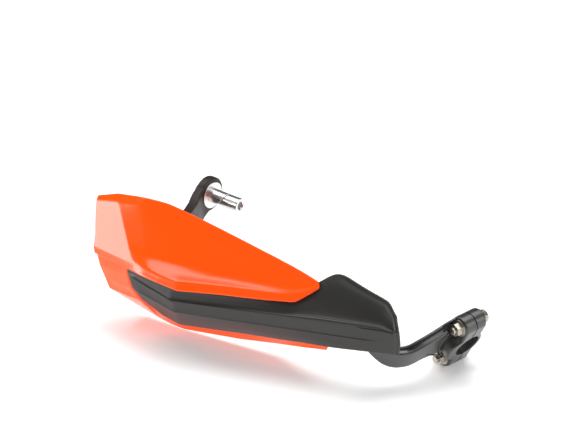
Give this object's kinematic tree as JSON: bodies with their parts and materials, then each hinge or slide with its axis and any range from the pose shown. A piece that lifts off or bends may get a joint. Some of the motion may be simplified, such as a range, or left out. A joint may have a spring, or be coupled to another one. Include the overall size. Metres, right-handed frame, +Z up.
{
  "type": "motorcycle hand guard",
  "caption": "Wrap-around hand guard for a motorcycle: a dark bow with a bar end expander and a handlebar clamp carries an orange two-panel shield with a dark stepped trim.",
  "frame": {"origin": "centre of the collar's face that meets the end of the handlebar, on the expander's axis", "axes": "+X along the bar end towards the middle of the motorcycle, +Y towards the rider, +Z up"},
  "size_m": [0.3189, 0.1735, 0.113],
  "materials": {
    "shield_plastic": "satin gloss injection moulding, saturated orange",
    "trim_plastic": "satin charcoal moulding with a very fine grain",
    "bow_plastic": "satin charcoal reinforced plastic",
    "arm_alloy": "dark satin coated cast alloy",
    "expander_metal": "bright turned",
    "steel": "turned",
    "dark_steel": "dark oiled",
    "zinc_steel": "warm zinc plated",
    "brass": "turned"
  },
  "bodies": {
    "root": {"bow": "bow_plastic", "eye_bush": "steel", "collar": "expander_metal", "expander_sleeve": "expander_metal", "expander_wedge": "expander_metal", "expander_screw": "dark_steel", "expander_washer": "steel", "clamp_arm": "arm_alloy", "clamp_cap": "arm_alloy", "clamp_screw_upper": "zinc_steel", "clamp_screw_lower": "zinc_steel", "clamp_nut_upper": "zinc_steel", "clamp_nut_lower": "zinc_steel", "shield": "shield_plastic", "trim": "trim_plastic", "shield_screw_outer": "zinc_steel", "shield_screw_inner": "zinc_steel", "insert_outer": "brass", "insert_inner": "brass"}
  },
  "joints": []
}
